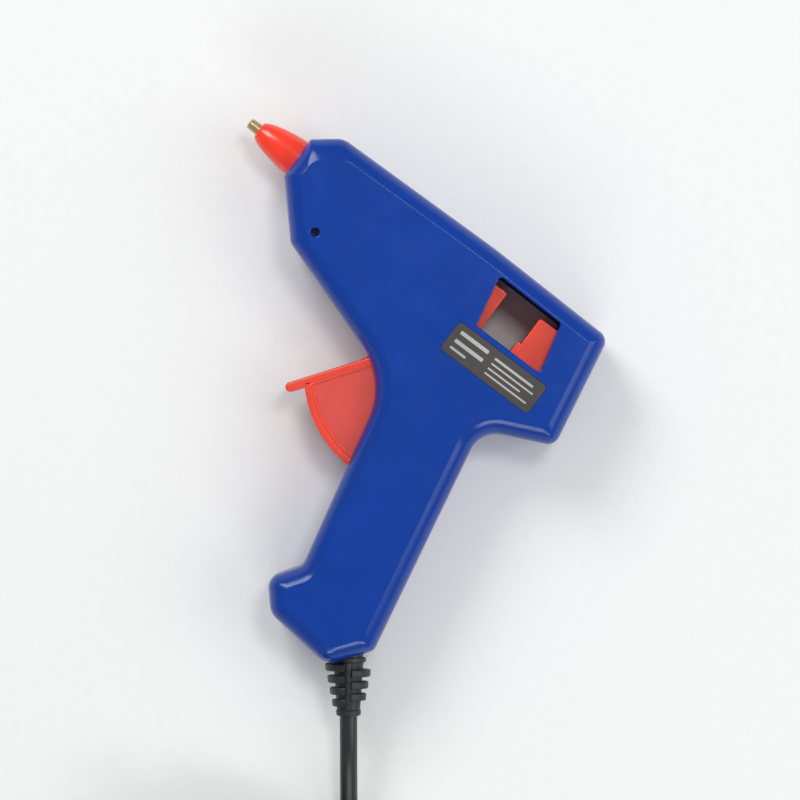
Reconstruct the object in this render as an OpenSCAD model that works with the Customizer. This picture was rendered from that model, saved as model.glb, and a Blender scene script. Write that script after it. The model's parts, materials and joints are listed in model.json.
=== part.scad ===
// Small hot glue gun for 7 mm glue sticks, resting on its right side.
// The barrel axis runs along X with the nozzle at -X, the top of the gun faces +Y
// and the left side of the gun faces +Z. Every sub-part is drawn in the gun's own
// frame: X from the front of the boot, Y from the barrel axis, Z from the mid-plane.

/* [Housing] */
// Thickness of the closed housing
housing_t = 27; // [25:0.5:30]
// Wall thickness of the two shells
wall = 2; // [1.6:0.1:2.4]
// Segments on each rounded corner of the housing outline
corner_steps = 4; // [3:1:6]

/* [Barrel] */
// Diameter of the glue stick
stick_d = 7; // [6.8:0.1:7.4]
// Diameter of the stick inlet in the rear wall
inlet_d = 8.4; // [8:0.1:9]
// How far the metal tip stands out of the boot
tip_out = 3; // [2:0.5:5]
// Outer diameter of the melt chamber
chamber_d = 13; // [12.6:0.1:13.4]
// Diameter of the stand wire sockets
stand_d = 2.5; // [2:0.1:3]

/* [Trigger] */
// Angle of a full pull
pull_deg = 24; // [10:1:24]
// Radius of the lower edge of the trigger about its pivot
trigger_r = 33.2; // [33:0.1:34]
// Width of the trigger
trigger_w = 13; // [12:0.5:13]
// Diameter of the pivot pin
pivot_d = 3.6; // [3:0.1:4]

/* [Cord] */
// Diameter of the cord
cord_d = 5; // [4.5:0.1:5.5]
// Radius of the widest turn of the stored coil, at the middle of the cord
coil_r = 36; // [34:1:38]
// Turns in each layer of the coil
coil_turns = 3; // [2:1:3]

/* [Hidden] */
$fn = 48;

half_t = housing_t / 2;
gap = 0.05;      // clearance between parts that touch in one body
press = 0.02;    // clearance round a pin that is pressed in
play = 0.3;      // clearance between parts that move past each other
cut = 1;         // how far a cutting body runs past the face that it cuts

// Outline of the housing, clockwise from the collar: x, y and fillet radius
housing_corners = [
    [14.1, 6.5, 1], [21.5, 12.3, 6], [75, 13.2, 60], [115.7, 12.3, 3.4], [122, -21.4, 3.5],
    [102.4, -30.5, 8], [116, -98.8, 3], [107.3, -110.1, 2.5], [86.1, -108, 6],
    [79.3, -100.3, 4], [85.2, -91.6, 3.5], [72.4, -35.4, 20], [27.3, -20.5, 3], [14.4, -6.4, 1]
];
least_fillet = 0.6;
// The rim of a shell: how far in from the outline, and how high above the mid-plane
bevel_in = 4.7;
outer_rim = [[0, 0], [0, half_t - 6.5], [1, half_t - 3.5], [2.6, half_t - 1.3], [bevel_in, half_t]];
// The hollow in a shell: two flat-bottomed steps, how far in and how high
hollow_steps = [[wall, half_t - 6], [4.4, half_t - wall]];
rib_top = half_t - wall + 0.1;
// Cross ribs that hold the parts on the barrel axis: start, end, lowest, highest, seat radius
ring_r = 8.2;
spring_seat_x = 68;
barrel_ribs = [
    [20.5, 22, -9.5, 8.6, ring_r + gap], [52, 53.5, -7, 10.2, ring_r + gap],
    [66, spring_seat_x, -8, 10.2, 4.6]
];
// Rails under and beside the carriage's base: two corners and the height where each starts
carriage_rails = [[[74, -13], [110, -11.7], 8], [[74, -9], [110, -7.8], 9]];
post_r = 3;              // posts round the housing screws
head_post_r = 3.9;
pivot_post_r = 3.6;
pivot_post_z = 7.2;
pivot_socket = 3;        // depth of the pivot pin's socket
stand_post_r = 2.8;
stop_at = [[70.1, -24.9], [97, -52.3]];
stop_r = 1.2;
stop_z = 4.7;

// Inspection window, seen from the left
window = [[80.5, 8], [102.5, 8], [105.9, -7.6], [83.6, -7.6]];
label_low = [79.1, -19.1];
label_high = [110.2, -9.3];
label_recess = 0.25;
stand_at = [31.3, -14];
stand_depth = 5;

// Housing screws
screw_at = [[40, -18.8], [111, 8.3], [113.5, -16], [100.5, -47], [92, -98]];
screw_shaft_r = 1.4;
screw_head_r = 2.7;
screw_head_seat = 4;     // depth of the head's seat below the right face
screw_head_t = 2.1;
screw_end = 7.5;

// Barrel stations along X
collar_x = 14.25;
chamber_x = 18.2;
chamber_end = 54.5;
spigot_end = 60;
sleeve_end = 65.9;
inlet_guide_x = 109.5;
inlet_guide_end = 115.5;
inlet_guide_r = 6;
collar_hole_r = 5.8;
cord_hole_r = 4.3;
cord_hole_half = 7;
stick_hole_r = stick_d / 2 + 0.3;
ring_at = [20, 51.5];
ring_w = 2.5;

// Anti-drip valve
ball_r = 1.5;
ball_x = 9;
valve_bore_r = 1.9;
seat_hole_r = 1.1;
seat_x = ball_x + sqrt(ball_r * ball_r - seat_hole_r * seat_hole_r) + 0.02;

// Slot for the trigger in the front wall of the handle
slot_corners = [[57, -42], [59.6, -24], [70, -29], [88, -50], [88, -62.4], [68, -62.4]];

// Feed mechanism
pivot_at = [79.3, -28];
arm_len = 13.5;
arm_lean = pull_deg / 2;
link_pin_at = pivot_at + arm_len * [sin(arm_lean), cos(arm_lean)];
lever_pivot = [101, -8.5];
lever_pin_at = [lever_pivot[0], link_pin_at[1]];
link_pin_r = 1.2;
loose = 0.4;     // the link's rear eye is this much wider than its pin all round
carriage_x = 79;
carriage_w = 8.6;
// Front bar of the trigger: its outer line and its thickness
bar_top = [68.9, -27];
bar_tip = [50.7, -52.4];
bar_t = 2.8;
bar_along = unit(bar_tip - bar_top);
bar_in = [-bar_along[1], bar_along[0]];
trigger_back = [84, -61.3];
hub_r = 4.2;
panel_t = 1.2;
panel_inset = 0.6;
rim_t = 2;
// The two arms that hold the link
arm_z = [2.2, 4.4];
link_half = 1.5;
link_eye_r = 2.6;

// Route of the live lead from the heater to the cord; the neutral lead mirrors it
lead_route = [
    [50.6, -11.55, 2.8], [51.4, -11.55, 2.8], [54, -13, 4.5], [58, -17, 8], [63, -22, 9.2],
    [70, -28.2, 9.2], [76, -33.4, 9.2], [82, -36.5, 9.2], [87, -42, 9.2], [91, -52, 9.2],
    [94, -64, 9.2], [96.5, -76, 8.5], [99, -84, 5.5], [101, -90, 2], [101.5, -91.3, 1.2]
];
lead_r = 0.9;
sleeve_x = 47.8;
sleeve_r = 1.5;
sleeve_len = 3.4;

// Cord: it leaves at the middle of the chamfer behind the foot
relief_base = [111.3, -104.7];
relief_angle = -53;
relief_len = 17;
relief_back = -16;
// Ribs of the strain relief: where each starts, and its radius
relief_ribs = [[2, 6.75], [6.7, 5.25], [11.4, 4.35]];
rib_w = 2.8;
rib_taper = 0.2;
clamp_at = -9;
clamp_half = 5;
clamp_z = cord_d / 2 + gap;
clamp_t = 2;
clamp_post_r = 2.4;
clamp_post_z = 2.3;
clamp_screw_r = 1.1;

// Route of the free cord: distance from the housing, sideways, height above the surface
free_route = [
    [17, 0, 13.5], [22, 0, 13.3], [28, 0, 12.2], [34, 0, 10], [40, 0, 7.4], [46, 0, 5.2],
    [52, 0, 3.7], [58, 0, 3.1], [66, 0, 3], [76, 0, 3], [86, 0, 3]
];
tie_t = 0.5;
coil_in_cord_frame = [free_route[len(free_route) - 1][0], -coil_r];
coil_at = relief_base + turned(coil_in_cord_frame, relief_angle);
coil_inner = coil_r - cord_d * coil_turns;
coil_top = tie_t + 2 * cord_d;
// Route of the tail from the coil's last turn to the plug, from the coil's middle
tail_route = [
    [18, 31, 8], [23, 28, 8.7], [30.5, 21, 10.3], [33.5, 11, 12.1], [30.5, 1, 14],
    [24.5, -5.5, 15.9], [18.5, -8.5, 17], [13.6, -9, 17.4], [13, -9, 17.4]
];
tail_end = tail_route[len(tail_route) - 1];
plug_at = coil_at + [tail_end[0], tail_end[1]];
plug_z = tail_end[2];
plug_wide = 35.3;
plug_thick = 13.7;
pin_spacing = 19;
pin_len = 19;
pin_r = 2;
plug_relief = 12;
plug_relief_r = [3.3, 4.4];
plug_grip = 12;
plug_front = 17;
plug_len = plug_relief + plug_grip + plug_front;
pin_root = 12;
pin_root_r = 1.5;

outline_points = outline(0);
low_x = -tip_out;
high_x = max([for (p = outline_points) p[0]]);
low_y = min([for (p = outline_points) p[1]]);
high_y = max([for (p = outline_points) p[1]]);
origin = [(low_x + high_x) / 2, (low_y + high_y) / 2, -half_t];

function unit(v) = v / norm(v);
function turned(p, a) = [p[0] * cos(a) - p[1] * sin(a), p[0] * sin(a) + p[1] * cos(a)];
function inward(d) = [d[1], -d[0]];

// The outline at a distance inside the housing's own, with every corner rounded
function outline(inset) = [
    for (i = [0:len(housing_corners) - 1]) each rounded_corner(i, inset)
];
function corner_at(i) = let (c = housing_corners[(i + len(housing_corners)) % len(housing_corners)])
    [c[0], c[1]];
function rounded_corner(i, inset) =
    let (
        into = unit(corner_at(i) - corner_at(i - 1)),
        away = unit(corner_at(i + 1) - corner_at(i)),
        n1 = inward(into),
        n2 = inward(away),
        corner = corner_at(i) + (n1 + n2) * inset / (1 + n1 * n2),
        bend = into[0] * away[1] - into[1] * away[0],
        turn = (bend < 0 ? -1 : 1) * acos(into * away),
        wanted = housing_corners[i][2] + (bend < 0 ? -inset : inset),
        r = max(wanted, least_fillet),
        first = corner - into * r * tan(abs(turn) / 2),
        middle = first + n1 * (bend < 0 ? r : -r)
    )
    [for (k = [0:corner_steps]) middle + turned(first - middle, turn * k / corner_steps)];

function lifted(points, z) = [for (p = points) [p[0], p[1], z]];

// A closed solid through rings that all have the same number of points. An end that isn't
// convex is given as convex pieces, each a list of point numbers in the ring's own order.
module loft(rings, end_pieces = []) {
    n = len(rings[0]);
    last = len(rings) - 1;
    points = [for (ring = rings) each ring];
    sides = [
        for (k = [0:last - 1], i = [0:n - 1])
            let (a = k * n + i, b = k * n + (i + 1) % n)
            each [[a, b, b + n], [a, b + n, a + n]]
    ];
    pieces = len(end_pieces) > 0 ? end_pieces : [[for (i = [0:n - 1]) i]];
    start = [for (piece = pieces) [for (i = [len(piece) - 1:-1:0]) piece[i]]];
    end = [for (piece = pieces) [for (i = piece) last * n + i]];
    polyhedron(points, concat(start, sides, end), convexity = 10);
}

// Point numbers of one corner of the outline, of several in a row, and of a corner's two ends
function first_point(i) = i * (corner_steps + 1);
function last_point(i) = first_point(i) + corner_steps;
function run(from, to) = [for (k = [first_point(from):last_point(to)]) k];
outline_pieces = [
    concat([last_point(11)], run(12, 13), run(0, 4), [first_point(5)]),
    concat([last_point(11)], run(5, 5)),
    concat([last_point(5)], run(11, 11)),
    [last_point(5), first_point(6), last_point(10), first_point(11)],
    concat([first_point(6)], run(10, 10)),
    concat(run(6, 9), [first_point(10)])
];

// The rings of a round tube that is swept along points, square to its path
function tube_rings(path, r, sides, up) = [
    for (i = [0:len(path) - 1])
        let (
            along = unit(path[min(i + 1, len(path) - 1)] - path[max(i - 1, 0)]),
            side = unit(cross(along, up)),
            top = cross(side, along)
        )
        [for (k = [0:sides - 1]) path[i] + r * (side * cos(360 * k / sides) + top * sin(360 * k / sides))]
];
function helix(x1, x2, r, turns, steps) = [
    for (i = [0:turns * steps])
        let (a = 360 * i / steps)
        [x1 + (x2 - x1) * i / (turns * steps), r * cos(a), r * sin(a)]
];

module place() {
    translate(-origin) children();
}
module mirrored() {
    children();
    mirror([0, 0, 1]) children();
}
module block(low, high) {
    translate(low) cube(high - low);
}
// A rod across the gun, between two heights
module cross_rod(at, r, z1, z2) {
    translate([at[0], at[1], z1]) cylinder(r = r, h = z2 - z1);
}
// A rod along the barrel axis
module barrel_rod(x1, x2, r) {
    translate([x1, 0, 0]) rotate([0, 90, 0]) cylinder(r = r, h = x2 - x1);
}
// A turned body on the barrel axis, from points of radius and x
module barrel_turned(profile) {
    rotate([0, 90, 0]) rotate_extrude() polygon(profile);
}
module plate(points, z1, z2) {
    translate([0, 0, z1]) linear_extrude(z2 - z1) polygon(points);
}
module rounded_box(low, high, r, z1, z2) {
    translate([0, 0, z1]) linear_extrude(z2 - z1) {
        translate(low + [r, 0]) square(high - low - [2 * r, 0]);
        translate(low + [0, r]) square(high - low - [0, 2 * r]);
        for (x = [low[0] + r, high[0] - r], y = [low[1] + r, high[1] - r])
            translate([x, y]) circle(r);
    }
}
// The cord's own frame: X along the strain relief, away from the housing
module on_cord_axis() {
    translate(relief_base) rotate([0, 0, relief_angle]) children();
}
module cord_turned(profile) {
    on_cord_axis() rotate([0, 90, 0]) rotate_extrude() polygon(profile);
}

// ---- housing ----

module shell_skin() {
    difference() {
        loft([for (rim = outer_rim) lifted(outline(rim[0]), rim[1])], outline_pieces);
        for (step = hollow_steps)
            translate([0, 0, -cut]) linear_extrude(step[1] + cut) polygon(outline(step[0]));
    }
}

// A cross rib with a round seat for something on the barrel axis
module barrel_rib(x1, x2, y1, y2, seat_r) {
    difference() {
        block([x1, y1, gap / 2], [x2, y2, rib_top]);
        barrel_rod(x1 - cut, x2 + cut, seat_r);
    }
}

module shell_inside() {
    for (rib = barrel_ribs) barrel_rib(rib[0], rib[1], rib[2], rib[3], rib[4]);
    intersection() {
        barrel_rod(inlet_guide_x, inlet_guide_end, inlet_guide_r);
        block(
            [inlet_guide_x, -inlet_guide_r - cut, gap / 2],
            [inlet_guide_end + cut, inlet_guide_r + cut, inlet_guide_r + cut]
        );
    }
    for (rail = carriage_rails)
        block([rail[0][0], rail[0][1], rail[2]], [rail[1][0], rail[1][1], rib_top]);
    cross_rod(stand_at, stand_post_r, half_t - stand_depth - 0.5, rib_top);
    cross_rod(pivot_at, pivot_post_r, pivot_post_z, rib_top);
    for (at = stop_at) cross_rod(at, stop_r, stop_z, rib_top);
}

module shell_openings() {
    plate(window, half_t - wall - cut, half_t + cut);
    cross_rod(stand_at, stand_d / 2, half_t - stand_depth, half_t + cut);
    cross_rod(pivot_at, pivot_d / 2 + press, pivot_post_z - cut, pivot_post_z + pivot_socket);
    barrel_rod(collar_x - cut, collar_x + wall + cut, collar_hole_r);
    barrel_rod(inlet_guide_x - cut, high_x, inlet_d / 2);
    trigger_slot();
    on_cord_axis() translate([-cord_hole_half, 0, 0]) rotate([0, 90, 0])
        cylinder(r = cord_hole_r, h = 2 * cord_hole_half);
}

module trigger_slot() {
    plate(slot_corners, -cut, trigger_w / 2 + 2 * play);
}

module left_housing() {
    color("royalblue") place() difference() {
        union() {
            shell_skin();
            shell_inside();
            for (at = screw_at) cross_rod(at, post_r, gap / 2, rib_top);
        }
        shell_openings();
        for (at = screw_at) cross_rod(at, screw_shaft_r + gap, -cut, screw_end + cut);
        rounded_box(label_low, label_high, 1.3, half_t - label_recess, half_t + cut);
    }
}

module right_housing() {
    color("royalblue") place() mirror([0, 0, 1]) difference() {
        union() {
            shell_skin();
            shell_inside();
            for (at = screw_at) {
                cross_rod(at, post_r, gap / 2, rib_top);
                cross_rod(at, head_post_r, half_t - screw_head_seat - 2, rib_top);
            }
            for (side = [-1, 1])
                cross_rod(clamp_hole(side), clamp_post_r, -clamp_post_z, rib_top);
            on_cord_axis()
                block([clamp_at - 2, -3.4, clamp_z], [clamp_at + 2, 3.4, rib_top]);
        }
        shell_openings();
        for (at = screw_at) {
            cross_rod(at, screw_shaft_r + 0.1, -cut, half_t);
            cross_rod(at, screw_head_r + 0.2, half_t - screw_head_seat, half_t + cut);
        }
        for (side = [-1, 1])
            cross_rod(clamp_hole(side), clamp_screw_r + gap, -clamp_post_z - cut, 5);
    }
}

module housing_screws() {
    color("silver") place() for (at = screw_at) {
        seat = -half_t + screw_head_seat;
        cross_rod(at, screw_shaft_r, seat - 1, screw_end);
        difference() {
            cross_rod(at, screw_head_r, seat - screw_head_t, seat);
            cross_slot(at, seat - screw_head_t, 1);
        }
    }
}

// The cross recess in a screw head, open downwards
module cross_slot(at, z, deep) {
    for (turn = [0, 90])
        translate([at[0], at[1], z]) rotate([0, 0, turn])
            block([-1.5, -0.35, -cut], [1.5, 0.35, deep]);
}

module rating_label() {
    color("dimgray") place()
        rounded_box(label_low + [0.1, 0.1], label_high - [0.1, 0.1], 1.2,
            half_t - label_recess, half_t - 0.05);
}

// ---- nozzle, valve and heater ----

module nozzle() {
    color("goldenrod") place() barrel_turned([
        [0.75, -tip_out], [1.3, -tip_out], [1.6, 0.4 - tip_out], [1.75, 0.4], [3, 8], [3.2, 13.5],
        [4.2, 13.5], [4.2, 16.8], [2.95, 16.8], [2.95, 23], [valve_bore_r, 23],
        [valve_bore_r, 3.5], [0.75, 3.5]
    ]);
}

module nozzle_boot() {
    color("orangered") place() barrel_turned([
        [1.8, 0.4], [2.3, 0.5], [2.8, 1], [3.4, 2.1], [3.95, 3.6], [4.55, 6], [5.1, 9], [5.55, 12],
        [5.7, 14.1], [5.7, 16.6], [6.3, 16.6], [6.3, 17.9], [4.25, 17.9], [4.25, 13.4],
        [3.25, 13.4], [3.05, 8]
    ]);
}

module valve_ball() {
    color("silver") place() translate([ball_x, 0, 0]) sphere(r = ball_r);
}

module valve_spring() {
    color("silver") place()
        loft(tube_rings(helix(3.7, 7.3, 1.1, 4, 12), 0.15, 6, [1, 0, 0]));
}

module valve_seat() {
    color("goldenrod") place() barrel_turned([
        [seat_hole_r, seat_x], [valve_bore_r, seat_x],
        [valve_bore_r, seat_x + 2], [seat_hole_r, seat_x + 2]
    ]);
}

module melt_chamber() {
    color("silver") place() difference() {
        union() {
            barrel_turned([
                [0, chamber_x], [chamber_d / 2, chamber_x], [chamber_d / 2, chamber_end],
                [4.7, chamber_end], [4.7, spigot_end], [0, spigot_end]
            ]);
            block([27, -13.4, -6], [47, -2, 6]);
        }
        barrel_turned([
            [0, chamber_x - cut], [3, chamber_x - cut], [3, 23], [stick_hole_r, 26],
            [stick_hole_r, spigot_end + cut], [0, spigot_end + cut]
        ]);
        block([28.5, -12.4, -4.6], [47 + cut, -8.2, 4.6]);
    }
}

module ptc_heater() {
    color("dimgray") place() block([30, -11.35, -4], [46, -8.9, 4]);
}

module heater_electrodes() {
    color("silver") place() {
        block([29.5, -8.85, -4], [46.8, -8.5, 4]);
        block([46.8, -11.7, 2], [47.1, -8.5, 3.6]);
        block([47.1, -11.7, 2], [50.5, -11.4, 3.6]);
        block([29.5, -11.75, -4], [46.5, -11.4, 4]);
        block([46.5, -11.7, -3.6], [50.5, -11.4, -2]);
    }
}

module heater_insulation() {
    color("orange") place() difference() {
        block([29, -12, -4.4], [46.5, -8.25, 4.4]);
        block([29 - cut, -11.8, -4.2], [46.5 + cut, -8.45, 4.2]);
    }
}

module heater_clip() {
    color("silver") place() block([29, -12.38, -4], [46.5, -12.05, 4]);
}

module insulating_rings() {
    color("ivory") place() for (x = ring_at)
        barrel_turned([
            [chamber_d / 2 + press, x], [ring_r, x],
            [ring_r, x + ring_w], [chamber_d / 2 + press, x + ring_w]
        ]);
}

module inlet_sleeve() {
    color("snow") place() barrel_turned([
        [4.75, 54.8], [6.2, 54.8], [6.2, sleeve_end], [4.4, sleeve_end], [stick_hole_r, sleeve_end - 1.5],
        [stick_hole_r, spigot_end + 0.2], [4.75, spigot_end + 0.2]
    ]);
}

module sleeve_clamp() {
    color("silver") place() barrel_turned([[6.22, 56], [6.9, 56], [6.9, 58], [6.22, 58]]);
}

module return_spring() {
    color("silver") place()
        loft(tube_rings(helix(spring_seat_x + 0.5, carriage_x - 0.5, 5.2, 4, 14), 0.4, 6, [1, 0, 0]));
}

// ---- feed mechanism ----

module carriage() {
    color("indianred") place() difference() {
        union() {
            block([carriage_x, -11.5, -11], [107, -9.3, 11]);
            block([carriage_x, -11.5, -carriage_w], [85.2, 5.2, carriage_w]);
            mirrored() {
                plate([[96.8, -11.5], [107, -11.5], [107, 4.4], [106.2, 5.2], [97.6, 5.2], [96.8, 4.4]],
                    5.6, carriage_w);
                block([95.7, -11, 5.6], [97, -4, carriage_w - 0.4]);
            }
        }
        barrel_rod(carriage_x - cut, 86, 3.9);
        block([98.3, -11.5 - cut, -5.4], [103.7, -9, 5.4]);
        cross_rod(lever_pivot, link_pin_r + press, -12, 12);
    }
}

module grip_lever() {
    color("silver") place() difference() {
        union() {
            block([99.6, -10.6, -5.2], [102.4, 5, 5.2]);
            cross_rod(lever_pivot, 2.2, -5.2, 5.2);
            mirrored() {
                cross_rod(lever_pin_at, 2.4, 1.9, 4.2);
                block([99.6, lever_pin_at[1], 1.9], [102.4, -9, 4.2]);
            }
        }
        barrel_rod(98, 104, 3.85);
        cross_rod(lever_pivot, link_pin_r + gap, -6, 6);
        cross_rod(lever_pin_at, link_pin_r + press, -6, 6);
    }
}

module lever_pivot_pin() {
    color("silver") place() cross_rod(lever_pivot, link_pin_r, -8.4, 8.4);
}

module lever_link_pin() {
    color("silver") place() cross_rod(lever_pin_at, link_pin_r, -4.2, 4.2);
}

module feed_link() {
    color("silver") place() difference() {
        union() {
            block(
                [link_pin_at[0], link_pin_at[1] - 1.8, -link_half],
                [lever_pin_at[0], link_pin_at[1] + 1.8, link_half]
            );
            cross_rod(link_pin_at, link_eye_r, -link_half, link_half);
            cross_rod(lever_pin_at, link_eye_r, -link_half, link_half);
        }
        cross_rod(link_pin_at, link_pin_r + gap, -link_half - cut, link_half + cut);
        cross_rod(lever_pin_at, link_pin_r + loose, -link_half - cut, link_half + cut);
    }
}

module trigger_sector(r, grow) {
    intersection() {
        translate(pivot_at) circle(r, $fn = 120);
        polygon([
            bar_top + bar_in * grow, bar_tip + bar_in * grow, bar_tip + [0, -12],
            trigger_back + [-grow, -12], trigger_back + [-grow, 0], [83.4 - grow, -29], [78.5, -23.9]
        ]);
    }
}

module trigger() {
    half = trigger_w / 2;
    color("red") place() difference() {
        union() {
            mirrored() translate([0, 0, half - panel_t - panel_inset])
                linear_extrude(panel_t) trigger_sector(trigger_r, 0);
            translate([0, 0, -half]) linear_extrude(trigger_w) trigger_rim();
            plate([
                bar_top, bar_tip, bar_tip + bar_in * bar_t, bar_top + bar_in * bar_t
            ], -half, half);
            cross_rod(bar_tip + bar_in * bar_t / 2, bar_t / 2, -half, half);
            cross_rod(pivot_at, hub_r, -half, half);
            mirrored() {
                plate([
                    pivot_at + [-3, 0], link_pin_at + [-2.2, 0], link_pin_at + [2.2, 0], pivot_at + [3, 0]
                ], arm_z[0], arm_z[1]);
                cross_rod(link_pin_at, link_eye_r, arm_z[0], arm_z[1]);
            }
        }
        cross_rod(pivot_at, pivot_d / 2 + gap, -half - cut, half + cut);
        cross_rod(link_pin_at, link_pin_r + press, -half, half);
    }
}

module trigger_rim() {
    difference() {
        trigger_sector(trigger_r, 0);
        trigger_sector(trigger_r - rim_t, -3);
        translate([85, -60]) square([20, 60]);
        translate([60, -31]) square([40, 20]);
    }
}

module trigger_link_pin() {
    color("silver") place() cross_rod(link_pin_at, link_pin_r, -4.4, 4.4);
}

module trigger_pivot_pin() {
    color("silver") place() cross_rod(pivot_at, pivot_d / 2, -10, 10);
}

// ---- wiring ----

module lead() {
    loft(tube_rings(lead_route, lead_r, 8, [0, 0, 1]));
}

module live_lead() {
    color("saddlebrown") place() lead();
}

module neutral_lead() {
    color("royalblue") place() mirror([0, 0, 1]) lead();
}

module lead_sleeves() {
    color("white") place() for (side = [-1, 1])
        translate([sleeve_x, lead_route[0][1], side * lead_route[0][2]]) rotate([0, 90, 0])
            difference() {
                cylinder(r = sleeve_r, h = sleeve_len);
                translate([0, 0, -cut]) cylinder(r = lead_r + 0.15, h = sleeve_len + 2 * cut);
            }
}

function clamp_hole(side) = relief_base + turned([clamp_at, side * clamp_half], relief_angle);

module cord_clamp() {
    color("ivory") place() difference() {
        on_cord_axis()
            block([clamp_at - 2.5, -7.2, clamp_z], [clamp_at + 2.5, 7.2, clamp_z + clamp_t]);
        for (side = [-1, 1]) cross_rod(clamp_hole(side), 1.3, 2, 5);
    }
}

module clamp_screws() {
    color("silver") place() for (side = [-1, 1]) {
        cross_rod(clamp_hole(side), clamp_screw_r, -4, clamp_z + clamp_t + gap);
        cross_rod(clamp_hole(side), 2 * clamp_screw_r, clamp_z + clamp_t + gap, clamp_z + clamp_t + 1.65);
    }
}

// Strain relief: a flange behind the wall, a neck in the wall and three soft ribs
module strain_relief() {
    bore = cord_d / 2 + press;
    color("black") place() {
        cord_turned([
            [bore, -5.4], [5.5, -5.4], [5.5, -3.8], [4.2, -3.8], [4.2, 2], [4, 5],
            [3.2, relief_len - 0.5], [bore + 0.3, relief_len], [bore, relief_len]
        ]);
        for (rib = relief_ribs)
            cord_turned([
                [bore + 0.2, rib[0]], [rib[1], rib[0]], [rib[1] - rib_taper, rib[0] + rib_w],
                [bore + 0.2, rib[0] + rib_w]
            ]);
    }
}

module cord_inner() {
    color("black") place() on_cord_axis() translate([relief_back, 0, 0])
        rotate([0, 90, 0]) cylinder(r = cord_d / 2, h = relief_len - relief_back);
}

// ---- cord, coil and plug, which lie on the surface ----

module on_surface() {
    translate([0, 0, -half_t]) children();
}

module power_cord() {
    color("black") place() on_surface() on_cord_axis()
        loft(tube_rings(free_route, cord_d / 2, 10, [0, 0, 1]));
}

module cord_coil() {
    color("black") place() on_surface() translate(coil_at) rotate_extrude($fn = 72)
        polygon([
            [coil_inner - cord_d / 2, tie_t], [coil_r + cord_d / 2, tie_t],
            [coil_r + cord_d / 2, coil_top], [coil_inner - cord_d / 2, coil_top]
        ]);
}

module cord_tail() {
    color("black") place() on_surface() translate(coil_at)
        loft(tube_rings(tail_route, cord_d / 2, 10, [0, 0, 1]));
}

module cord_tie() {
    half = 2;
    near = coil_inner - cord_d / 2;
    far = coil_r + cord_d / 2;
    color("dimgray") place() on_surface() translate(coil_at) rotate([0, 0, 135]) difference() {
        block([near - tie_t, -half, 0], [far + tie_t, half, coil_top + tie_t]);
        block([near, -half - cut, tie_t], [far, half + cut, coil_top]);
    }
}

// The plug's cross section: a flat bar with round ends
module stadium(w, t) {
    square([t, w - t], center = true);
    for (y = [-1, 1]) translate([0, y * (w - t) / 2]) circle(d = t);
}

module on_plug() {
    place() on_surface() translate([plug_at[0], plug_at[1], plug_z]) rotate([0, -90, 0]) children();
}

module plug_body() {
    color("black") on_plug() difference() {
        union() {
            cylinder(r1 = plug_relief_r[0], r2 = plug_relief_r[1], h = plug_relief);
            translate([0, 0, plug_relief]) linear_extrude(plug_grip)
                stadium(plug_wide - 9, plug_thick - 1);
            translate([0, 0, plug_relief + plug_grip]) linear_extrude(plug_front)
                stadium(plug_wide, plug_thick);
        }
        for (y = [-1, 1])
            translate([0, y * pin_spacing / 2, plug_len - pin_root])
                cylinder(r = pin_root_r + press, h = pin_root + cut);
    }
}

module plug_pins() {
    color("silver") on_plug() for (y = [-1, 1])
        translate([0, y * pin_spacing / 2, plug_len]) rotate_extrude() polygon([
            [0, 0.5 - pin_root], [pin_root_r, 0.5 - pin_root], [pin_root_r, gap], [pin_r, gap],
            [pin_r, pin_len - 1], [0.6 * pin_r, pin_len], [0, pin_len]
        ]);
}

left_housing();
right_housing();
housing_screws();
rating_label();
nozzle();
nozzle_boot();
valve_ball();
valve_spring();
valve_seat();
melt_chamber();
ptc_heater();
heater_electrodes();
heater_insulation();
heater_clip();
insulating_rings();
inlet_sleeve();
sleeve_clamp();
return_spring();
carriage();
grip_lever();
lever_pivot_pin();
lever_link_pin();
feed_link();
trigger();
trigger_link_pin();
trigger_pivot_pin();
live_lead();
neutral_lead();
lead_sleeves();
cord_clamp();
clamp_screws();
strain_relief();
cord_inner();
power_cord();
cord_coil();
cord_tail();
cord_tie();
plug_body();
plug_pins();
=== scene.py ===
"""Looks for the glue gun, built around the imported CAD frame.

Points are given in the gun's own millimetres, as in the CAD source: X from the front of
the boot, Y from the barrel axis, W from the mid-plane towards the left side.
"""

import json
import math

import bmesh
import bpy
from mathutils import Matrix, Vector


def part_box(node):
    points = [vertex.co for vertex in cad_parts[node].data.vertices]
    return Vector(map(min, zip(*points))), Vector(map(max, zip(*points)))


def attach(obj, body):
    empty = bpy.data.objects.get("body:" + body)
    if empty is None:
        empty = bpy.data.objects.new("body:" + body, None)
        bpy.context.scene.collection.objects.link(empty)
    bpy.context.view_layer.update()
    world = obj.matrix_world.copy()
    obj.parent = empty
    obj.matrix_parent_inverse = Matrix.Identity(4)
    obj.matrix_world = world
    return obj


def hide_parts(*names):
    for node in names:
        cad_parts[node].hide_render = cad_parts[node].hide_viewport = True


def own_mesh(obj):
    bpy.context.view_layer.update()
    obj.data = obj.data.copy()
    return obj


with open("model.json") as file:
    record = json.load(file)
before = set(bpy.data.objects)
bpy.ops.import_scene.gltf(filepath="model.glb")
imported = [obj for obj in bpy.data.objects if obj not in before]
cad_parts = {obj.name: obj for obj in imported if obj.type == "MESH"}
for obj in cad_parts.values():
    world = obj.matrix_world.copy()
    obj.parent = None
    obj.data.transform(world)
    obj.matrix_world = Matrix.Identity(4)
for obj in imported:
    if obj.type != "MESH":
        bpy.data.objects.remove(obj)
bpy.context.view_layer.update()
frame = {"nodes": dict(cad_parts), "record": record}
NODES = frame["nodes"]

MM = 0.001
HALF_T = 13.5
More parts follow.
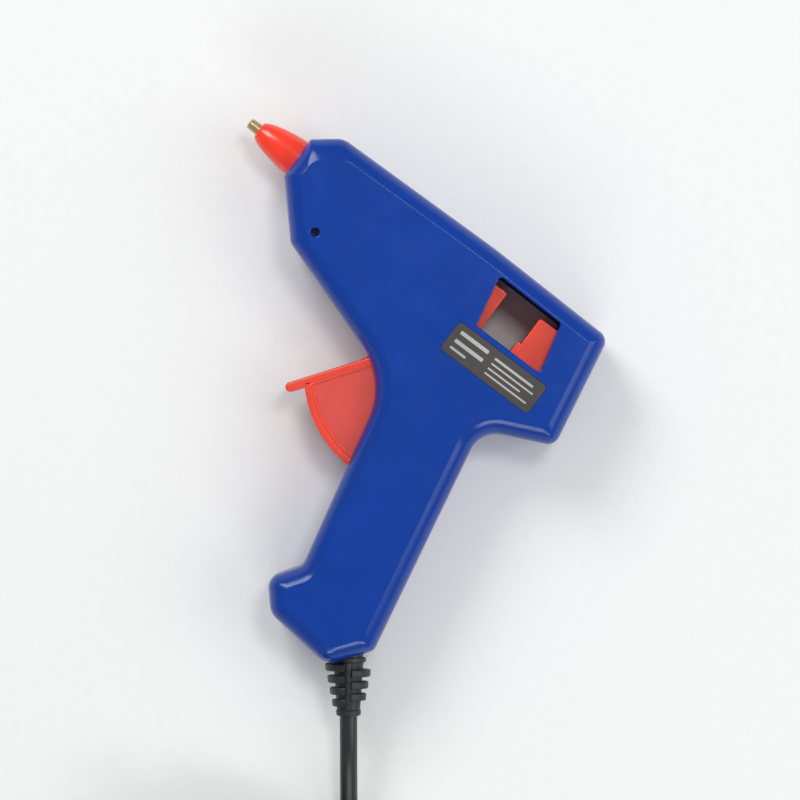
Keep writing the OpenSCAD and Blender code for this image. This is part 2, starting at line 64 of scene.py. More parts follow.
# The label's corner and top in the CAD source, which give the gun's own origin
LABEL_X, LABEL_Y, LABEL_TOP = 79.2, -19.0, 13.45
LABEL_LOW, LABEL_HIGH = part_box("rating_label")
ORIGIN = Vector((
    LABEL_LOW.x - LABEL_X * MM, LABEL_LOW.y - LABEL_Y * MM, LABEL_HIGH.z - LABEL_TOP * MM,
))


def at(x, y, w=0.0):
    """A point of the gun's own frame, in metres in the row frame."""
    return ORIGIN + Vector((x, y, w)) * MM


def above(x, y, z):
    """The same with a height above the surface that the gun lies on."""
    return at(x, y, z - HALF_T)


def turned(x, y, degrees):
    a = math.radians(degrees)
    return x * math.cos(a) - y * math.sin(a), x * math.sin(a) + y * math.cos(a)


# ---- camera ----

VIEW_TURN = 37.0
VIEW_DISTANCE = 1.2
VIEW_WIDTH = 0.2286
VIEW_MIDDLE = (79.0, -37.4)

camera = bpy.data.objects.new("camera", bpy.data.cameras.new("camera"))
bpy.context.scene.collection.objects.link(camera)
camera.data.sensor_width = 36.0
camera.data.lens = camera.data.sensor_width * VIEW_DISTANCE / VIEW_WIDTH
camera.data.clip_start = 0.05
camera.data.clip_end = 20.0
camera.location = at(*VIEW_MIDDLE) + Vector((0, 0, VIEW_DISTANCE))
camera.rotation_euler = (0, 0, math.radians(VIEW_TURN))
bpy.context.scene.camera = camera


# ---- mesh tools ----

# Vertices this close, in metres, are welded
WELD = 1e-7
# Edges over this angle, in degrees, stay sharp
SHARP = 38.0
# A face is level when the upright part of its normal is above this
LEVEL = 0.99999


def new_object(name, data, body="root"):
    obj = bpy.data.objects.new(name, data)
    bpy.context.scene.collection.objects.link(obj)
    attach(obj, body)
    return obj


def mark_sharp(bm, degrees):
    """Smooth shading, but for edges over the angle and the rims of the flat sides."""
    limit = math.radians(degrees)
    for face in bm.faces:
        face.smooth = True
    for edge in bm.edges:
        if len(edge.link_faces) == 2:
            level = [abs(face.normal.z) > LEVEL for face in edge.link_faces]
            edge.smooth = edge.calc_face_angle(0) <= limit and level[0] == level[1]


def finish_mesh(bm, name, material, body="root", sharp=SHARP):
    """The bmesh as a piece that rides on body."""
    bmesh.ops.recalc_face_normals(bm, faces=bm.faces)
    mark_sharp(bm, sharp)
    mesh = bpy.data.meshes.new(name)
    bm.to_mesh(mesh)
    bm.free()
    mesh.materials.append(material)
    obj = new_object(name, mesh, body)
    return obj


def carve(obj, cutters):
    """Cuts the cutters out of the piece, exactly, and removes them."""
    for cutter in cutters:
        change = obj.modifiers.new("cut", "BOOLEAN")
        change.object = cutter
        change.operation = "DIFFERENCE"
        change.solver = "EXACT"
    graph = bpy.context.evaluated_depsgraph_get()
    made = bpy.data.meshes.new_from_object(obj.evaluated_get(graph))
    obj.modifiers.clear()
    old = obj.data
    obj.data = made
    made.name = old.name
    bpy.data.meshes.remove(old)
    for cutter in cutters:
        bpy.data.objects.remove(cutter)
    bm = bmesh.new()
    bm.from_mesh(made)
    bmesh.ops.remove_doubles(bm, verts=bm.verts, dist=WELD)
    bmesh.ops.dissolve_degenerate(bm, edges=bm.edges, dist=WELD)
    mark_sharp(bm, SHARP)
    bm.to_mesh(made)
    bm.free()


def weigh_normals(obj):
    """Keeps flat faces flat where they meet rounded edges."""
    change = obj.modifiers.new("normals", "WEIGHTED_NORMAL")
    change.keep_sharp = True


def rounded_ring(corners, inset=0.0, steps=8, least=0.05):
    """A clockwise outline of (x, y, fillet radius, softening, pull), moved inwards by inset.

    The last two may be left out: softening makes a convex corner rounder with the inset, and
    pull moves the side after the corner further in. Without steps the corners stay sharp.
    """
    points = []
    pulls = [corner[4] if len(corner) > 4 else 1.0 for corner in corners]
    for i, (x, y, radius, *soft) in enumerate(corners):
        here = Vector((x, y))
        into = (here - Vector(corners[i - 1][:2])).normalized()
        away = (Vector(corners[(i + 1) % len(corners)][:2]) - here).normalized()
        n1, n2 = Vector((into.y, -into.x)), Vector((away.y, -away.x))
        d1, d2 = inset * pulls[i - 1], inset * pulls[i]
        c = n1.dot(n2)
        if d1 == d2:
            corner = here + (n1 + n2) * d1 / (1 + c)
        else:
            corner = here + (n1 * (d1 - c * d2) + n2 * (d2 - c * d1)) / (1 - c * c)
        if not steps:
            points.append(tuple(corner))
            continue
        convex = into.x * away.y - into.y * away.x < 0
        turn = math.acos(max(-1.0, min(1.0, into.dot(away))))
        soft_r = soft[0] * inset if soft else 0
        r = max(radius - inset, least, soft_r) if convex else radius + inset
        first = corner - into * r * math.tan(turn / 2)
        middle = first + n1 * (r if convex else -r)
        spoke = first - middle
        for k in range(steps + 1):
            a = (-turn if convex else turn) * k / steps
            points.append((
                middle.x + spoke.x * math.cos(a) - spoke.y * math.sin(a),
                middle.y + spoke.x * math.sin(a) + spoke.y * math.cos(a),
            ))
    return points


def circle(x, y, r, steps=40):
    """Clockwise, as the outlines are."""
    return [
        (x + r * math.cos(a), y + r * math.sin(a))
        for a in (-2 * math.pi * k / steps for k in range(steps))
    ]


def add_loop(bm, points, w, place=at):
    return [bm.verts.new(place(x, y, w)) for x, y in points]


def bridge(bm, a, b):
    """Faces between two closed loops with the same number of points."""
    for i in range(len(a)):
        j = (i + 1) % len(a)
        bm.faces.new((a[i], a[j], b[j], b[i]))


def bridge_all(bm, loops):
    for a, b in zip(loops, loops[1:]):
        bridge(bm, a, b)


def fill_plane(bm, loops):
    """Fills a flat face that the first loop bounds and the others are holes in."""
    edges = []
    for loop in loops:
        for i, vert in enumerate(loop):
            pair = (vert, loop[(i + 1) % len(loop)])
            edges.append(bm.edges.get(pair) or bm.edges.new(pair))
    bmesh.ops.triangle_fill(bm, use_beauty=True, use_dissolve=False, edges=edges)


def fillet_steps(fillet, count=5):
    """Pairs of inset and drop round a quarter circle, from the flat face to the side."""
    pairs = []
    for k in range(count + 1):
        a = math.pi / 2 * k / count
        pairs.append((fillet * (1 - math.sin(a)), fillet * (1 - math.cos(a))))
    return pairs


def slab(bm, corners, low, high, fillet=0.4, steps=6, place=at):
    """A plate across the gun with rounded edges."""
    edge = fillet_steps(fillet)
    levels = [(inset, high - drop) for inset, drop in edge]
    levels += [(inset, low + drop) for inset, drop in reversed(edge)]
    loops = [add_loop(bm, rounded_ring(corners, inset, steps), w, place) for inset, w in levels]
    bridge_all(bm, loops)
    bm.faces.new(loops[0])
    bm.faces.new(loops[-1])


def box_corners(x1, y1, x2, y2, r=0.4):
    return [(x1, y2, r), (x2, y2, r), (x2, y1, r), (x1, y1, r)]


def turned_body(bm, profile, place, steps=64, close_ends=True):
    """Spins (distance, radius) pairs about an axis; place(s, r, angle) gives the points."""
    angles = [2 * math.pi * k / steps for k in range(steps)]
    loops = []
    for s, r in profile:
        if r < 1e-6:
            loops.append([bm.verts.new(place(s, 0, 0))])
        else:
            loops.append([bm.verts.new(place(s, r, a)) for a in angles])
    for a, b in zip(loops, loops[1:]):
        if len(a) == 1 or len(b) == 1:
            tip, ring = (a[0], b) if len(a) == 1 else (b[0], a)
            for i, vert in enumerate(ring):
                bm.faces.new((tip, vert, ring[(i + 1) % len(ring)]))
        else:
            bridge(bm, a, b)
    if close_ends:
        for ring in (loops[0], loops[-1]):
            if len(ring) > 1:
                bm.faces.new(ring)


def smooth_path(points, parts):
    """A Catmull-Rom curve through points, each span in so many parts."""
    made = []
    for i in range(len(points) - 1):
        p0 = Vector(points[max(i - 1, 0)])
        p1, p2 = Vector(points[i]), Vector(points[i + 1])
        p3 = Vector(points[min(i + 2, len(points) - 1)])
        for k in range(parts):
            t = k / parts
            made.append(0.5 * (
                2 * p1 + (p2 - p0) * t + (2 * p0 - 5 * p1 + 4 * p2 - p3) * t * t
                + (3 * p1 - p0 - 3 * p2 + p3) * t ** 3
            ))
    made.append(Vector(points[-1]))
    return made


def smoothstep(t):
    t = max(0.0, min(1.0, t))
    return t * t * (3 - 2 * t)


def along_barrel(s, r, a):
    return at(s, r * math.cos(a), r * math.sin(a))


# ---- materials ----

def material_base(name):
    material = bpy.data.materials.new(name)
    material.use_nodes = True
    nodes, links = material.node_tree.nodes, material.node_tree.links
    shader = nodes["Principled BSDF"]
    coords = nodes.new("ShaderNodeTexCoord")
    return material, nodes, links, shader, coords.outputs["Object"]


def noise(nodes, links, coords, scale, detail=3.0, roughness=0.55, stretch=None):
    if stretch:
        mapping = nodes.new("ShaderNodeMapping")
        mapping.inputs["Scale"].default_value = stretch
        links.new(coords, mapping.inputs["Vector"])
        coords = mapping.outputs["Vector"]
    made = nodes.new("ShaderNodeTexNoise")
    made.inputs["Scale"].default_value = scale
    made.inputs["Detail"].default_value = detail
    made.inputs["Roughness"].default_value = roughness
    links.new(coords, made.inputs["Vector"])
    return made.outputs["Fac"]


def remap(nodes, links, value, low, high, start=0.3, stop=0.7):
    made = nodes.new("ShaderNodeMapRange")
    made.inputs["From Min"].default_value = start
    made.inputs["From Max"].default_value = stop
    made.inputs["To Min"].default_value = low
    made.inputs["To Max"].default_value = high
    links.new(value, made.inputs["Value"])
    return made.outputs["Result"]


def mix_colours(nodes, links, factor, first, second):
    made = nodes.new("ShaderNodeMix")
    made.data_type = "RGBA"
    links.new(factor, made.inputs["Factor"])
    for socket, colour in ((made.inputs[6], first), (made.inputs[7], second)):
        if isinstance(colour, tuple):
            socket.default_value = (*colour, 1.0)
        else:
            links.new(colour, socket)
    return made.outputs[2]


def add_bump(nodes, links, shader, height, strength, distance):
    bump = nodes.new("ShaderNodeBump")
    bump.inputs["Strength"].default_value = strength
    bump.inputs["Distance"].default_value = distance
    links.new(height, bump.inputs["Height"])
    links.new(bump.outputs["Normal"], shader.inputs["Normal"])


def shade(colour, factor):
    return tuple(min(1.0, c * factor) for c in colour)


def plastic(name, colour, rough=0.3, spread=0.06, grain=900.0, bump=0.08, depth=0.00004,
            coat=0.0, specular=0.5, patches=60.0):
    """Moulded plastic or rubber: cloudy colour, fine surface texture, uneven gloss."""
    material, nodes, links, shader, coords = material_base(name)
    clouds = noise(nodes, links, coords, patches, 4.0)
    colours = mix_colours(nodes, links, remap(nodes, links, clouds, 0, 1),
                          shade(colour, 1 - spread), shade(colour, 1 + spread))
    links.new(colours, shader.inputs["Base Color"])
    smears = noise(nodes, links, coords, patches * 2.3, 6.0, 0.65)
    links.new(remap(nodes, links, smears, rough * 0.8, rough * 1.25), shader.inputs["Roughness"])
    add_bump(nodes, links, shader, noise(nodes, links, coords, grain, 3.0), bump, depth)
    shader.inputs["Coat Weight"].default_value = coat
    shader.inputs["Coat Roughness"].default_value = 0.08
    shader.inputs["Specular IOR Level"].default_value = specular
    return material


def metal(name, colour, rough=0.25, stretch=(1, 1, 1), grain=700.0, depth=0.00003):
    """Bare metal with fine drawing or casting marks."""
    material, nodes, links, shader, coords = material_base(name)
    stains = noise(nodes, links, coords, 120.0, 5.0)
    links.new(mix_colours(nodes, links, remap(nodes, links, stains, 0, 1),
                          shade(colour, 0.82), colour), shader.inputs["Base Color"])
    marks = noise(nodes, links, coords, grain, 4.0, 0.6, stretch)
    links.new(remap(nodes, links, marks, rough * 0.7, rough * 1.5), shader.inputs["Roughness"])
    add_bump(nodes, links, shader, marks, 0.25, depth)
    shader.inputs["Metallic"].default_value = 1.0
    return material


SHELL_BLUE = (0.0003, 0.037, 0.28)
FEED_RED = (0.77, 0.05, 0.024)
BOOT_RED = (0.9, 0.038, 0.012)
NEAR_BLACK = (0.014, 0.014, 0.015)

MATERIALS = {
    "shell_blue": plastic(
        "shell_plastic", SHELL_BLUE, rough=0.19, spread=0.07, grain=1100.0, bump=0.05,
        depth=0.00004, coat=0.0, specular=0.32,
    ),
    "feed_red": plastic(
        "red_plastic", FEED_RED, rough=0.27, spread=0.08, grain=1000.0, bump=0.08, depth=0.00004,
        coat=0.1,
    ),
    "boot_red": plastic(
        "red_silicone", BOOT_RED, rough=0.26, spread=0.06, grain=1400.0, bump=0.08, depth=0.00004,
        coat=0.3,
    ),
    "label_grey": plastic(
        "label_film", (0.042, 0.035, 0.034), rough=0.38, spread=0.15, grain=1500.0, bump=0.06,
        depth=0.00002,
    ),
    "brass": metal(
        "turned_brass", (0.72, 0.53, 0.27), rough=0.3, stretch=(6, 1, 1), grain=900.0,
        depth=0.00001,
    ),
    "steel": metal("zinc_steel", (0.62, 0.63, 0.64), rough=0.3, stretch=(6, 1, 1)),
    "cast_alloy": metal(
        "cast_alloy", (0.58, 0.58, 0.58), rough=0.45, stretch=(1, 1, 1), grain=1600.0,
        depth=0.00008,
    ),
    "spring_steel": metal("spring_steel", (0.5, 0.5, 0.52), rough=0.22),
    "ceramic_grey": plastic(
        "ceramic", (0.12, 0.12, 0.13), rough=0.6, spread=0.2, grain=2500.0, bump=0.3,
        depth=0.00006,
    ),
    "film_amber": plastic(
        "amber_film", (0.5, 0.2, 0.03), rough=0.25, spread=0.1, grain=800.0, bump=0.1,
    ),
    "ring_ivory": plastic(
        "ivory_ring", (0.7, 0.62, 0.47), rough=0.5, spread=0.08, grain=1500.0, bump=0.15,
    ),
    "silicone_white": plastic(
        "white_silicone", (0.72, 0.72, 0.7), rough=0.45, spread=0.05, grain=1500.0, bump=0.12,
    ),
    "lead_brown": plastic(
        "brown_lead", (0.13, 0.045, 0.02), rough=0.35, spread=0.1, grain=1200.0, bump=0.1,
    ),
    "lead_blue": plastic(
        "blue_lead", (0.02, 0.1, 0.42), rough=0.35, spread=0.1, grain=1200.0, bump=0.1,
    ),
    "clamp_plastic": plastic(
        "clamp_plastic", (0.6, 0.57, 0.5), rough=0.42, spread=0.06, grain=1200.0, bump=0.12,
    ),
    "relief_black": plastic(
        "relief_rubber", NEAR_BLACK, rough=0.42, spread=0.2, grain=1500.0, bump=0.15,
        depth=0.00005,
    ),
    "cord_black": plastic(
        "cord_sheath", NEAR_BLACK, rough=0.36, spread=0.2, grain=900.0, bump=0.12, depth=0.00005,
    ),
    "plug_black": plastic(
        "plug_plastic", NEAR_BLACK, rough=0.4, spread=0.2, grain=1500.0, bump=0.15, depth=0.00005,
    ),
    "plug_metal": metal("plated_pin", (0.75, 0.73, 0.69), rough=0.18, stretch=(1, 8, 8)),
    "tie_black": plastic(
        "tie_plastic", NEAR_BLACK, rough=0.33, spread=0.2, grain=1300.0, bump=0.1,
    ),
}
# The trigger's side panels and the strips by the handle: a duller finish, and a darker red that
# is painted shade of the recess on the one red moulding
SHADED_PANEL_RED = plastic(
    "red_panel_painted_shade", (0.63, 0.056, 0.042), rough=0.45, spread=0.1, grain=1300.0, bump=0.15,
    depth=0.00005,
)
# The slot of each node, as the record has it
SLOT_OF = {part["node"]: part["material_slot"] for part in frame["record"]["subparts"]}

for node_name, node_object in NODES.items():
    node_object.data.materials.clear()
    node_object.data.materials.append(MATERIALS[SLOT_OF[node_name]])


def piece(bm, name, node, body="root", sharp=SHARP):
    """The bmesh as the piece that stands for a CAD node, in that node's finish."""
    slot = SLOT_OF[node]
    obj = finish_mesh(bm, name, MATERIALS[slot], body, sharp)
    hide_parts(node)
    return obj


# ---- cord, tie and plug ----

CORD_D = 5.0
RELIEF_BASE = (111.3, -104.7)
RELIEF_TURN = -53.0
RELIEF_LEN = 17.0
# The loose stretch: distance from the housing, sideways, height above the surface
FREE_ROUTE = [
    (17, 0, 13.5), (22, 0, 13.3), (28, 0, 12.2), (34, 0, 10), (40, 0, 7.4), (46, 0, 5.2),
    (52, 0, 3.7), (58, 0, 3.1), (66, 0, 3), (76, 0, 3), (86, 0, 3),
]
COIL_R = 36.0
TIE_T = 0.5
TIE_ANGLE = 135.0
LOW_LAYER, HIGH_LAYER = CORD_D / 2 + TIE_T, CORD_D * 1.5 + TIE_T
# From the coil to the plug: two distances from the coil's middle, and height
TAIL_ROUTE = [
    (18, 31, 8), (23, 28, 8.7), (30.5, 21, 10.3), (33.5, 11, 12.1), (30.5, 1, 14),
    (24.5, -5.5, 15.9), (18.5, -8.5, 17), (13.6, -9, 17.4), (13, -9, 17.4),
]


def cord_frame(s, t):
    x, y = turned(s, t, RELIEF_TURN)
    return RELIEF_BASE[0] + x, RELIEF_BASE[1] + y


COIL_AT = cord_frame(FREE_ROUTE[-1][0], -COIL_R)
# Turns at which the winding starts to climb, has climbed, and ends
CLIMB_FROM, CLIMB_TO, COIL_END = 2.5, 3.05, 5.936
COIL_START_ANGLE = 90.0 + RELIEF_TURN
INNER_R = COIL_R - 2.9 * CORD_D


STEPS_PER_TURN = 40


def coil_point(u):
    """The cord's middle after so many turns."""
    if u < CLIMB_TO:
        r = max(COIL_R - CORD_D * u, INNER_R)
    else:
        r = INNER_R + CORD_D * (u - CLIMB_TO)
    climbed = smoothstep((u - CLIMB_FROM) / (CLIMB_TO - CLIMB_FROM))
    z = LOW_LAYER + (HIGH_LAYER - LOW_LAYER) * climbed
    a = math.radians(COIL_START_ANGLE - 360 * u)
    return Vector((COIL_AT[0] + r * math.cos(a), COIL_AT[1] + r * math.sin(a), z))


def cord_centreline():
    points = smooth_path([(*cord_frame(s, t), z) for s, t, z in FREE_ROUTE], 3)[:-1]
    steps = int(COIL_END * STEPS_PER_TURN)
    points += [coil_point(COIL_END * k / steps) for k in range(steps)]
    tail = [(COIL_AT[0] + x, COIL_AT[1] + y, z) for x, y, z in TAIL_ROUTE]
    return points + smooth_path(tail, 5)


centreline = cord_centreline()

cord_curve = bpy.data.curves.new("mains_cord", "CURVE")
cord_curve.dimensions = "3D"
cord_curve.bevel_depth = CORD_D / 2 * MM
cord_curve.bevel_resolution = 6
cord_curve.use_fill_caps = True
spline = cord_curve.splines.new("POLY")
spline.points.add(len(centreline) - 1)
for spot, centre in zip(spline.points, centreline):
    spot.co = (*above(*centre), 1.0)
spline.use_smooth = True
cord_curve.materials.append(MATERIALS["cord_black"])
mains_cord = new_object("mains_cord", cord_curve)
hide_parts("power_cord", "cord_coil", "cord_tail")

PLUG_AT = (COIL_AT[0] + TAIL_ROUTE[-1][0], COIL_AT[1] + TAIL_ROUTE[-1][1])
PLUG_Z = TAIL_ROUTE[-1][2]
PLUG_LEN = 41.0
PIN_GAP = 19.0
PIN_LEN = 19.0
PIN_R = 2.0
PIN_TIP_R = 1.2


def plug_point(s, side, up):
    """Along the plug from the cord, across it, and up."""
    return above(PLUG_AT[0] - s, PLUG_AT[1] + side, PLUG_Z + up)


def superellipse(width, thick, power, steps=72):
    """Round at a power of 2, and squarer above it."""
    points = []
    for k in range(steps):
        a = 2 * math.pi * k / steps
        c, s = math.cos(a), math.sin(a)
        points.append((
            width / 2 * math.copysign(abs(c) ** (2 / power), c),
            thick / 2 * math.copysign(abs(s) ** (2 / power), s),
        ))
    return points


def build_plug():
    bm = bmesh.new()
    # Distance, width, thickness, squareness of each section
    sections = [(0, 5.2, 5.2, 2), (0.15, 6, 6, 2), (0.6, 6.6, 6.6, 2)]
    for k in range(4):
        s, d = 1.2 + 2.5 * k, 6.8 + 0.5 * k
        sections += [(s, d, d, 2), (s + 0.2, d - 0.9, d - 0.9, 2), (s + 0.8, d - 0.9, d - 0.9, 2),
                     (s + 1.0, d + 0.2, d + 0.2, 2)]
    sections += [
        (11.4, 8.8, 8.8, 2), (12.2, 11, 9.6, 2.1), (13, 16.5, 11.2, 2.3), (14, 21, 12, 2.5),
        (15.2, 23.6, 12.4, 2.7), (17, 25, 12.6, 2.9),
    ]
    for k in range(3):
        s = 18.2 + 1.9 * k
        sections += [(s, 25.4, 12.6, 3), (s + 0.3, 24.6, 12.1, 3), (s + 0.9, 24.6, 12.1, 3),
                     (s + 1.2, 25.6, 12.65, 3)]
    sections += [
        (24.2, 26.6, 12.7, 3), (25, 29, 12.9, 3.1), (25.9, 32, 13.3, 3.2), (27, 34, 13.6, 3.3),
        (29, 35, 13.7, 3.4), (32, 35.3, 13.7, 3.5), (40, 35.3, 13.7, 3.5), (40.6, 35, 13.4, 3.5),
        (40.9, 34.5, 12.9, 3.5), (41, 33.6, 12, 3.5),
    ]
    loops = []
    for s, width, thick, power in sections:
        ring = superellipse(width, thick, power)
        loops.append([bm.verts.new(plug_point(s, a, b)) for a, b in ring])
    bridge_all(bm, loops)
    bm.faces.new(loops[0])
    bm.faces.new(loops[-1])
    return piece(bm, "mains_plug", "plug_body", sharp=50)


def build_pins():
    """Two metal pins with rounded tips, and the sleeves round their roots."""
    bm = bmesh.new()
    sleeves = bmesh.new()
    tip = [
        (PIN_LEN - PIN_TIP_R + PIN_TIP_R * math.sin(a), PIN_R - PIN_TIP_R * (1 - math.cos(a)))
        for a in (math.pi / 2 * k / 6 for k in range(7))
    ]
    profile = [(-3, 1.6), (9.9, 1.6), (10, 1.95), (10.2, PIN_R)] + tip + [(PIN_LEN, 0)]
    collar = [(-1, 1.62), (-1, 1.9), (9.7, 1.9), (9.95, 1.8), (9.95, 1.62)]
    for side in (-1, 1):
        def place(s, r, a, side=side):
            return plug_point(PLUG_LEN + s, side * PIN_GAP / 2 + r * math.cos(a), r * math.sin(a))
        turned_body(bm, profile, place, 36)
        turned_body(sleeves, collar + collar[:1], place, 36, close_ends=False)
    bmesh.ops.remove_doubles(sleeves, verts=sleeves.verts, dist=WELD)
    pins = piece(bm, "plug_pins_metal", "plug_pins")
    guards = finish_mesh(sleeves, "plug_pin_sleeves", MATERIALS["plug_black"])
    return pins, guards


def build_tie():
    """A band round the coil's turns with a small head on top."""
    bm = bmesh.new()
    top = HIGH_LAYER + CORD_D / 2

    def place(r, z, t):
        x, y = turned(r, t, TIE_ANGLE)
        return above(COIL_AT[0] + x, COIL_AT[1] + y, z)

    def turn_edge(first, side):
        """The inner or outer edge of the winding where the tie crosses it, after a turn."""
        u = first + (COIL_START_ANGLE - TIE_ANGLE) / 360 % 1
        spot = coil_point(u) - Vector((*COIL_AT, 0))
        return spot.xy.length + side * (CORD_D / 2 + TIE_T)

    near, far = turn_edge(3, -1), turn_edge(5, 1)
    bend = 2.6
    outer = [
        (near, top + TIE_T, bend), (far, top + TIE_T, bend),
        (turn_edge(0, 1), 0, bend), (turn_edge(2, -1), 0, bend),
    ]
    # Inset and half width round the band's cross section
    section = [
        (0.12, -2), (0, -1.85), (0, 1.85), (0.12, 2),
        (TIE_T - 0.02, 2), (TIE_T, 1.9), (TIE_T, -1.9), (TIE_T - 0.02, -2),
    ]
    rings = []
    for inset, half in section:
        rings.append([bm.verts.new(place(r, z, half)) for r, z in rounded_ring(outer, inset, 6)])
    bridge_all(bm, rings + rings[:1])
    # The head, and the loose end that comes out of it
    slab(bm, box_corners(far - 6.5, -2.6, far - 1, 2.6, 0.7), top + 0.3, top + 2.8, 0.4, 5,
         lambda r, t, z: place(r, z, t))
    slab(bm, box_corners(far - 14, -1.8, far - 5, 1.8, 0.5), top + 0.55, top + 1.2, 0.15, 4,
         lambda r, t, z: place(r, z, t))
    return piece(bm, "coil_tie", "cord_tie")


mains_plug = build_plug()
plug_pins_metal, plug_pin_sleeves = build_pins()
coil_tie = build_tie()


# ---- housing ----

# Outline: x, y, fillet radius, softening and pull of each corner
HOUSING = [
    (14.1, 6.5, 1, 1.3, 1.45), (21.5, 12.3, 6, 1.3), (75, 13.2, 60), (115.7, 12.3, 3.4, 0.35),
    (122, -21.4, 3.5, 0.5), (102.4, -30.5, 8), (116, -98.8, 3, 1), (107.3, -110.1, 5, 1),
    (86.1, -108, 6, 1), (79.3, -100.3, 4, 0.8), (85.2, -91.6, 3.5), (72.4, -35.4, 20),
    (27.3, -20.5, 3, 1.6), (14.4, -6.4, 1, 1.3),
]
WALL = 2.0
INSIDE_W = HALF_T - WALL
LEAST_FILLET = 0.6
SCREWS = [(40, -18.8), (111, 8.3), (113.5, -16), (100.5, -47), (92, -98)]
WINDOW = [(80.5, 7.7, 0.9), (102.3, 7.3, 0.9), (105.9, -7.6, 0.9), (83.6, -7.6, 0.9)]
LABEL = box_corners(79.1, -19.1, 110.2, -9.3, 1.3)
STAND = (31.3, -14)
PIVOT = (79.3, -28)
COLLAR_R = 5.8
INLET_R = 4.2
CORD_HOLE_R = 4.3
SLOT_W = 6.6
SEAT_R = 2.9


def bezier(p0, p1, p2, p3, count):
    """Points along a cubic curve, without its start."""
    made = []
    for k in range(1, count + 1):
        t = k / count
        u = 1 - t
        made.append(tuple(
            u ** 3 * a + 3 * u * u * t * b + 3 * u * t * t * c + t ** 3 * d
            for a, b, c, d in zip(p0, p1, p2, p3)
        ))
    return made


def rim_profile():
    """Inset and height from the parting line, over the rounded rim, to the flat side."""
    profile = [(0.3, 0.03), (0.14, 0.08), (0.03, 0.22), (0, 0.45), (0, 6.2)]
    profile += bezier((0, 6.2), (0, 9.4), (1.3, 11.9), (4.1, 13.28), 14)
    return profile + [(4.25, 13.36), (4.4, 13.42), (4.55, 13.46), (4.75, HALF_T)]


def shell(side, name, node):
    """Half the housing, on the left where side is 1."""
    bm = bmesh.new()

    def place(x, y, w):
        return at(x, y, side * w)

    def outline(inset, w):
        return add_loop(bm, rounded_ring(HOUSING, inset, 12, LEAST_FILLET), w, place)

    outer = [outline(inset, w) for inset, w in rim_profile()]
    inner_profile = [(WALL, 0.03), (WALL, 7.5), (2.25, 9.2), (3, 10.6), (4.4, INSIDE_W)]
    inner = [outline(inset, w) for inset, w in inner_profile]
    bridge_all(bm, outer)
    bridge_all(bm, inner)
    bridge(bm, outer[0], inner[0])

    window = [
        add_loop(bm, rounded_ring(WINDOW, inset, 6), w, place)
        for inset, w in ((-0.3, HALF_T), (-0.16, 13.45), (-0.05, 13.33), (0, 13.1), (0, INSIDE_W))
    ]
    bridge_all(bm, window)
    stand = [
        add_loop(bm, circle(*STAND, r), w, place)
        for r, w in ((1.6, HALF_T), (1.42, 13.45), (1.3, 13.32), (1.25, 13.1), (1.25, 8.6))
    ]
    bridge_all(bm, stand)
    bm.faces.new(stand[-1])
    boss = [add_loop(bm, circle(*STAND, 2.8), w, place) for w in (INSIDE_W, 8.1)]
    bridge_all(bm, boss)
    bm.faces.new(boss[-1])
    holes = [window[0], stand[0]]
    if side > 0:
        recess = [
            add_loop(bm, rounded_ring(LABEL, inset, 6), w, place)
            for inset, w in ((-0.12, HALF_T), (-0.03, 13.47), (0, 13.4), (0, 13.25))
        ]
        bridge_all(bm, recess)
        bm.faces.new(recess[-1])
        holes.append(recess[0])
    fill_plane(bm, [outer[-1], *holes])
    fill_plane(bm, [inner[-1], window[-1], boss[0]])
    obj = piece(bm, name, node)
    carve(obj, shell_cutters(side))
    weigh_normals(obj)


def cutter(build):
    """A closed solid for carve, which removes it again."""
    bm = bmesh.new()
    build(bm)
    bmesh.ops.recalc_face_normals(bm, faces=bm.faces)
    mesh = bpy.data.meshes.new("cutter")
    bm.to_mesh(mesh)
    bm.free()
    obj = bpy.data.objects.new("cutter", mesh)
    bpy.context.scene.collection.objects.link(obj)
    return obj


def cord_axis(s, r, a):
    """Along the strain relief, at a radius and angle round it."""
    x, y = cord_frame(s, r * math.cos(a))
    return at(x, y, r * math.sin(a))


def shell_cutters(side):
    """The openings of a shell, with the screw seats on the right one."""
    def collar(bm):
        turned_body(bm, [(12, COLLAR_R), (18, COLLAR_R)], along_barrel, 72)

    def inlet(bm):
        funnel = [(118.3, 4.5), (121, 5.6), (124, 7)]
        turned_body(bm, [(108, INLET_R), (116.8, INLET_R)] + funnel, along_barrel, 72)

    def slot(bm):
        sides = [(57, -42), (59.6, -24), (70, -29), (88, -50), (88, -62.4), (68, -62.4)]
        corners = [(x, y, 0.5) for x, y in sides]
        loops = [
            add_loop(bm, rounded_ring(corners, inset, 4), w)
            for inset, w in ((0.5, -7.1), (0, -SLOT_W), (0, SLOT_W), (0.5, 7.1))
        ]
        bridge_all(bm, loops)
        bm.faces.new(loops[0])
        bm.faces.new(loops[-1])

    def cord_hole(bm):
        turned_body(bm, [(-6, CORD_HOLE_R), (6, CORD_HOLE_R)], cord_axis, 48)

    made = [cutter(build) for build in (collar, inlet, slot, cord_hole)]
    if side < 0:
        for x, y in SCREWS:
            def seat(bm, x=x, y=y):
                loops = [
                    add_loop(bm, circle(x, y, r), w)
                    for r, w in ((3.5, -14.2), (SEAT_R, -13.3), (SEAT_R, -9.5))
                ]
                bridge_all(bm, loops)
                bm.faces.new(loops[0])
                bm.faces.new(loops[-1])
            made.append(cutter(seat))
    return made


shell(1, "shell_left", "left_housing")
shell(-1, "shell_right", "right_housing")


